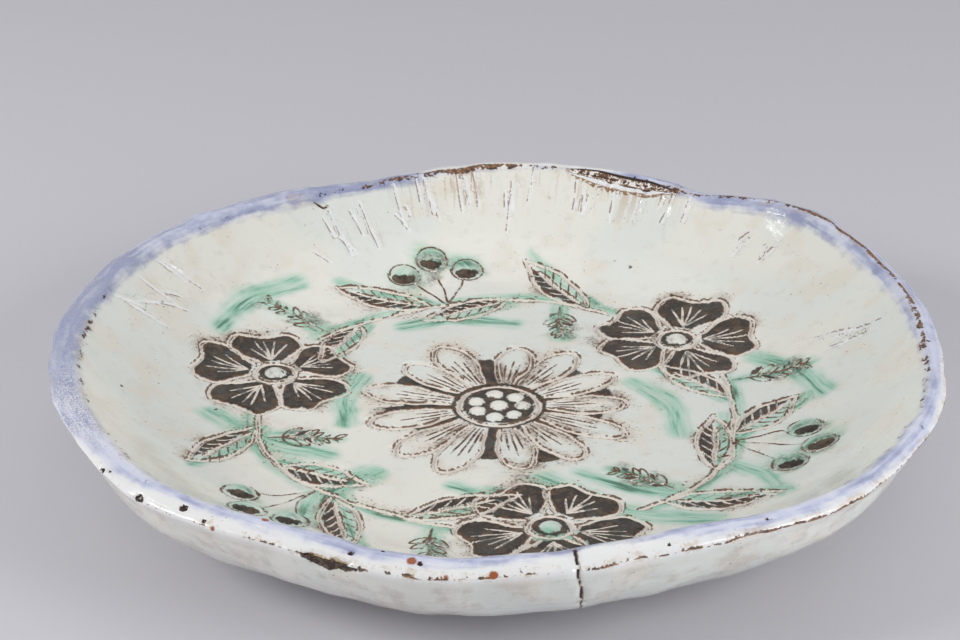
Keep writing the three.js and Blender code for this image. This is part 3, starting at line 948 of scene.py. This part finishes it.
# thin colour from a wet brush, streaked along its way
def washGroup():
    tree, given, made = newTree("wetWash", "ShaderNodeTree", [
        ("Field", "Float", 0.0), ("Brush", "Vector", None), ("Soak", "Float", 0.5)],
        [("Tone", "Float"), ("Deep", "Float")])
    field = roughen(tree, given["Field"], (given["Soak"], 1.5))
    streak = noiseOf(tree, stretched(tree, given["Brush"], (0.34, 0.035, 1.0)), 1.0, 3.0)
    tone = sums(tree, "MULTIPLY", ease(tree, field, -0.2, 0.7), ease(tree, streak, 0.34, 0.6, 0.45, 1.0))
    deep = sums(tree, "MULTIPLY", ease(tree, streak, 0.5, 0.7), ease(tree, field, 0.15, 0.7))
    tree.links.new(tone, made["Tone"])
    tree.links.new(deep, made["Deep"])
    return tree


brokenLine, flecks, wetWash = brokenLineGroup(), fleckGroup(), washGroup()

glazeLook = {
    "white": srgb(236, 235, 227), "coolWhite": srgb(229, 232, 226), "warmWhite": srgb(231, 224, 211),
    "greyWhite": srgb(212, 211, 200), "stain": srgb(206, 187, 169),
    "lilac": srgb(206, 211, 236), "lilacDeep": srgb(152, 158, 192), "milk": srgb(243, 243, 244),
    "brown": srgb(104, 72, 50), "brownDark": srgb(58, 41, 30), "groove": srgb(234, 225, 214),
    "dark": srgb(50, 42, 35), "darkLight": srgb(104, 86, 68),
    "green": srgb(142, 202, 177), "greenDeep": srgb(40, 114, 86),
    "rust": srgb(156, 74, 6), "clay": srgb(206, 172, 146), "soil": srgb(198, 192, 184),
    # the third colour below is painted shade, laid along one side of each scratch
    "ochre": srgb(208, 186, 152), "umber": srgb(142, 98, 58), "scratchShade": srgb(132, 104, 82),
    "gloss": 0.11, "matt": 0.5,
}


def glazeMaterial():
    look = glazeLook
    material = bpy.data.materials.new("glaze")
    material.use_nodes = True
    tree = material.node_tree
    tree.nodes.clear()
    soft, jitter, calc, field, noise = (partial(f, tree) for f in (ease, roughen, sums, fieldOf, noiseOf))
    coats = []  # mask and colour, each laid over the last

    def lay(mask, tint):
        coats.append((mask, tint))

    def between(mask, a, b):
        a, b = (look[tint] if isinstance(tint, str) else tint for tint in (a, b))
        return blendOf(tree, mask, a, b)

    def times(*values):
        return stack(tree, "MULTIPLY", *values)

    def most(*values):
        return stack(tree, "MAXIMUM", *values)

    spot = put(tree, "ShaderNodeTexCoord").outputs["Object"]
    fine, middling = noise(spot, 650.0), noise(spot, 150.0, 3.0)
    patch, slow = noise(spot, 46.0), noise(spot, 15.0, 1.0)
    rimWay = field("rimWay", "Vector")
    streak = noise(stretched(tree, rimWay, (0.035, 0.035, 0.3)), 1.0, 3.0)
    lip, face, gouge, needle = (field(name) for name in ("lip", "faceSide", "gouge", "needle"))

    def line(along, middle, half, cover, gaps=middling):
        inputs = {"Field": along, "Middle": middle, "Half": half, "Cover": cover, "Gaps": gaps, "Dots": fine}
        return put(tree, "ShaderNodeGroup", inputs, node_tree=brokenLine).outputs[0]

    lay(soft(slow, 0.42, 0.58), "coolWhite")
    lay(times(soft(patch, 0.5, 0.68), 0.7), "warmWhite")
    lay(times(soft(middling, 0.54, 0.74), 0.35), "greyWhite")
    lay(times(soft(lip, 0.0, 3.0), soft(lip, 15.0, 12.5), 0.8), "milk")
    dragged = soft(jitter(middling, (streak, 0.6), (patch, 0.6)), 0.44, 0.72)
    lay(times(soft(lip, 13.0, 17.0), dragged, 0.45), "soil")
    lay(times(soft(gouge, 5.0, 0.2), face, soft(patch, 0.4, 0.62), 0.5), "stain")

    # lilac round the rim, watery at its edge and grainy on the left
    band = jitter(field("lilac"), (streak, 5.0), (middling, 5.0))
    sugar = soft(jitter(noise(spot, 1500.0, 1.0), (middling, 0.6)), 0.44, 0.6)
    uneaten = calc("ADD", times(field("grain"), sugar, -0.7), 1.0)
    thin = soft(jitter(streak, (middling, 0.5)), 0.34, 0.58, 0.72, 0.97)
    edgeOn = calc("ADD", field("blue"), times(soft(lip, 4.0, 0.3), 0.1))
    deep = soft(calc("ADD", jitter(streak, (slow, 0.7), (middling, 0.4)), edgeOn), 0.4, 0.84)
    lay(times(soft(band, -1.4, 3.4), uneaten, thin), between(deep, "lilac", "lilacDeep"))

    inputs = {"Field": field("green"), "Brush": field("brush", "Vector"), "Soak": patch}
    wash = put(tree, "ShaderNodeGroup", inputs, node_tree=wetWash).outputs
    lay(times(wash["Tone"], 0.9), between(wash["Deep"], "green", "greenDeep"))

    # dark colour rubbed into the flowers and painted shade on the berries' lower sides, thin in places, with
    # a smudge and dry grain round it
    rubbedAndShade = field("dark")
    inside = jitter(rubbedAndShade, (middling, 3.6), (fine, 2.4))
    cover = soft(jitter(middling, (patch, 0.8), (fine, 0.5)), 0.28, 0.46, 0.95, 1.0)
    smudge = times(soft(inside, -7.0, 0.0), soft(patch, 0.5, 0.64), soft(fine, 0.4, 0.58, 0.25, 0.75))
    dark = most(times(soft(inside, -0.4, 0.6), cover), smudge)
    uneven = times(soft(jitter(middling, (fine, 0.4)), 0.46, 0.68), 0.75)
    lay(dark, between(uneven, "dark", "darkLight"))
    dry = times(soft(gouge, 8.0, 2.0), soft(patch, 0.48, 0.6), soft(fine, 0.58, 0.66), face)
    lay(times(dry, 0.8), "brown")

    # pale grooves with brown caught along them, and the fine lines, pale where they cross the dark
    groove = times(soft(gouge, 0.1, -0.5), face, soft(middling, 0.3, 0.5, 0.6, 0.96))
    lay(groove, "groove")
    caught = most(line(gouge, 0.1, 0.64, 0.53), line(gouge, -1.2, 0.5, 0.44, patch))
    lay(times(caught, face, 0.92), "brown")
    skips = soft(jitter(middling, (fine, 0.6)), 0.34, 0.54, 0.25, 1.0)
    hair = times(soft(needle, 0.15, -0.2), face, skips)
    lay(hair, between(soft(dark, 0.3, 0.7), "brown", "groove"))
    lay(times(soft(field("scratch"), 0.3, -0.3), 0.9), "milk")
    # painted shade: a brown line along one side of each scratch
    lay(times(line(field("scratchSide"), 0.8, 0.55, 0.56), 0.75), "scratchShade")

    # worn edges of the rim, and the stain run down from them
    wander = jitter(lip, (patch, 4.0), (middling, 2.4), (fine, 1.8))
    outerWear, innerWear, wearAt = (field(name) for name in ("outerWear", "innerWear", "wearAt"))
    tinted = most(line(wander, 11.6, 2.4, calc("ADD", outerWear, 0.05), patch),
                  line(wander, wearAt, 2.6, calc("ADD", innerWear, 0.02), patch))
    lay(times(tinted, soft(jitter(middling, (fine, 0.3)), 0.4, 0.66, 0.0, 0.45)), "ochre")
    runs = jitter(noise(stretched(tree, rimWay, (0.4, 0.4, 0.05)), 1.0), (fine, 0.3))
    lay(times(soft(runs, 0.54, 0.68), field("runs")), "stain")
    worn = most(line(wander, 12.0, calc("MULTIPLY_ADD", outerWear, 1.6, -0.1), outerWear),
                line(wander, wearAt, 1.4, innerWear))
    flecked = jitter(fine, (middling, 0.7))
    wornColour = between(soft(fine, 0.42, 0.58), "umber", "brown")
    wornColour = between(soft(flecked, 0.55, 0.68), wornColour, "brownDark")
    lay(times(worn, 0.95), wornColour)

    # the fold behind the rim: a flecked hollow, a clean white roll, brown at the edges
    fold, inSlit = field("fold"), soft(field("inSlit"), 0.08, 0.2)
    inHollow = between(soft(flecked, 0.4, 0.5), "milk", "stain")
    inHollow = between(soft(flecked, 0.5, 0.58), inHollow, "brown")
    lay(times(soft(fold, 0.1, 0.5), soft(fold, 4.6, 4.2), inSlit, 0.95), inHollow)
    lay(times(soft(fold, -2.1, -1.8), soft(fold, 0.0, -0.2), inSlit), "milk")
    folded = most(line(fold, 0.45, 0.6, 0.9), line(fold, 2.4, 0.45, 0.5), line(fold, 4.2, 0.6, 0.8))
    lay(times(folded, inSlit), "brownDark")
    drips = line(jitter(fold, (fine, 3.2), (middling, 1.6)), -2.6, 0.9, 0.62, fine)
    lay(times(drips, soft(fold, -1.8, -2.1), inSlit, 0.85), "umber")

    # chip, rust, pits and the crack
    chip = soft(jitter(field("chip"), (middling, 1.5), (fine, 0.6)), 0.0, 0.14)
    flake = soft(jitter(lip, (fine, 3.0), (middling, 3.0)), 11.6, 10.8)
    broken = between(soft(fine, 0.5, 0.62), "brownDark", "darkLight")
    lay(chip, between(times(flake, 0.85), broken, "ochre"))
    lay(times(soft(jitter(field("rust"), (fine, 1.4)), 0.5, -0.4), 0.95), "rust")
    lay(soft(jitter(field("pit"), (fine, 1.6)), 0.1, -0.3), "brownDark")
    crack = field("crack")
    lay(times(soft(crack, 0.45, 0.0), 0.5), "umber")
    lay(soft(crack, 0.05, -0.25), "brownDark")

    inputs = {"Vector": spot, "Scale": 150.0, "Cover": 0.05, "Size": 0.17, "Rough": fine}
    specks = put(tree, "ShaderNodeGroup", inputs, node_tree=flecks).outputs[0]
    dust = times(soft(fine, 0.69, 0.73), soft(patch, 0.46, 0.6), 0.7)
    lay(times(most(specks, dust), 0.85), "brownDark")

    # the bare ring it was fired on
    height = put(tree, "ShaderNodeSeparateXYZ", {0: spot}).outputs[2]
    bare = soft(jitter(height, (middling, 0.003)), 0.0016, 0.0008)
    lay(bare, "clay")

    colour = "white"
    for mask, tint in coats:
        colour = between(mask, colour, tint)
    rough = calc("MULTIPLY_ADD", soft(middling, 0.35, 0.7), 0.1, look["gloss"])
    for mask, share in ((dark, 0.8), (groove, 0.4), (worn, 0.7), (chip, 0.6), (bare, 1.0)):
        rough = put(tree, "ShaderNodeMix", {0: times(mask, share), 2: rough, 3: look["matt"]}).outputs[0]

    offFace = calc("SUBTRACT", 1.0, face)
    gritty = times(soft(rubbedAndShade, -0.3, 0.8), fine, -0.4)
    relief = stack(tree, "ADD", times(patch, 0.9), times(middling, 0.4), times(fine, 0.03),
                   times(hair, -0.25), gritty, times(streak, offFace, 0.8))
    bump = put(tree, "ShaderNodeBump", {"Strength": 0.6, "Distance": 0.0007, "Height": relief}).outputs[0]
    inputs = {"Base Color": colour, "Roughness": rough, "Normal": bump, "IOR": 1.5}
    shader = put(tree, "ShaderNodeBsdfPrincipled", inputs)
    put(tree, "ShaderNodeOutputMaterial", {"Surface": shader.outputs[0]})
    return material


glaze = glazeMaterial()
print("glaze done")

plateMesh.shade_smooth()
rawPlate = bpy.data.objects.new("rawPlate", plateMesh)
bpy.context.scene.collection.objects.link(rawPlate)
lineSets = {"gouge": gouges, "needle": needles, "scratch": scratches, "crack": cracks}
helpers = {kind + " lines": lineObject(kind + "Lines", strokes) for kind, strokes in lineSets.items()}
tree = carvingTree()
carve = rawPlate.modifiers.new("carving", "NODES")
carve.node_group = tree
settings = {"Glaze": glaze, **clayLumps, **helpers}
for item in tree.interface.items_tree:
    if item.in_out == "INPUT" and item.name in settings:
        carve[item.identifier] = settings[item.name]
graph = bpy.context.evaluated_depsgraph_get()
carved = bpy.data.meshes.new_from_object(rawPlate.evaluated_get(graph))
rawPlate.modifiers.remove(carve)
carved.name = "wallPlate"
wallPlate = bpy.data.objects.new("wallPlate", carved)
bpy.context.scene.collection.objects.link(wallPlate)
for helper in [rawPlate, *helpers.values()]:
    bpy.data.objects.remove(helper)
print("carving done", len(carved.polygons), "triangles")

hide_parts("plate")
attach(wallPlate, "root")

studio = {
    "floorColour": srgb(207, 206, 213), "floorSize": 12.0,
    "lens": 90.0, "eye": (-0.0085, -0.9552, 0.5266), "pitch": 26.176,
    "lights": [  # place, aim, size, power, colour, shadow
        ((-1.4, -0.3, 0.82), (0, 0, 0.02), 0.7, 12.5, (1.0, 1.0, 0.99), True),
        ((1.3, -0.66, 0.66), (0.25, 0.0, 0.0), 1.0, 13.5, (1.0, 1.0, 1.0), True),
        ((0.2, 0.8, 1.4), (0, 0, 0.02), 1.2, 2.0, (1.0, 0.99, 0.97), True),
        ((-0.9, 0.2, 1.0), (0, 0, 0.02), 0.1, 0.6, (1.0, 1.0, 1.0), False),
    ],
    "sky": (0.93, 0.93, 0.955, 1.0), "skyStrength": 0.4,
}


def floorMaterial():
    material = bpy.data.materials.new("floor")
    material.use_nodes = True
    shader = material.node_tree.nodes["Principled BSDF"]
    shader.inputs["Base Color"].default_value = studio["floorColour"]
    shader.inputs["Roughness"].default_value = 0.7
    return material


half = studio["floorSize"] / 2
floorMesh = bpy.data.meshes.new("floor")
corners = [(-half, -half, 0), (half, -half, 0), (half, half, 0), (-half, half, 0)]
floorMesh.from_pydata(corners, [], [(0, 1, 2, 3)])
floorMesh.materials.append(floorMaterial())
floor = bpy.data.objects.new("floor", floorMesh)
bpy.context.scene.collection.objects.link(floor)

for number, (place, aim, size, power, tint, shadow) in enumerate(studio["lights"]):
    lamp = bpy.data.lights.new("softbox%d" % number, "AREA")
    lamp.shape, lamp.size, lamp.energy, lamp.color, lamp.use_shadow = "DISK", size, power, tint, shadow
    holder = bpy.data.objects.new(lamp.name, lamp)
    holder.location = place
    holder.rotation_euler = (Vector(aim) - Vector(place)).to_track_quat("-Z", "Y").to_euler()
    bpy.context.scene.collection.objects.link(holder)

world = bpy.data.worlds.new("studio")
world.use_nodes = True
sky = next(n for n in world.node_tree.nodes if n.type == "BACKGROUND")
sky.inputs["Color"].default_value = studio["sky"]
sky.inputs["Strength"].default_value = studio["skyStrength"]
bpy.context.scene.world = world

lensData = bpy.data.cameras.new("camera")
lensData.lens, lensData.sensor_width = studio["lens"], 36.0
camera = bpy.data.objects.new("camera", lensData)
camera.location = studio["eye"]
camera.rotation_euler = (math.radians(90 - studio["pitch"]), 0, 0)
bpy.context.scene.collection.objects.link(camera)
bpy.context.scene.camera = camera
bpy.context.scene.view_settings.view_transform = "Standard"
print("floor, lights and camera done")
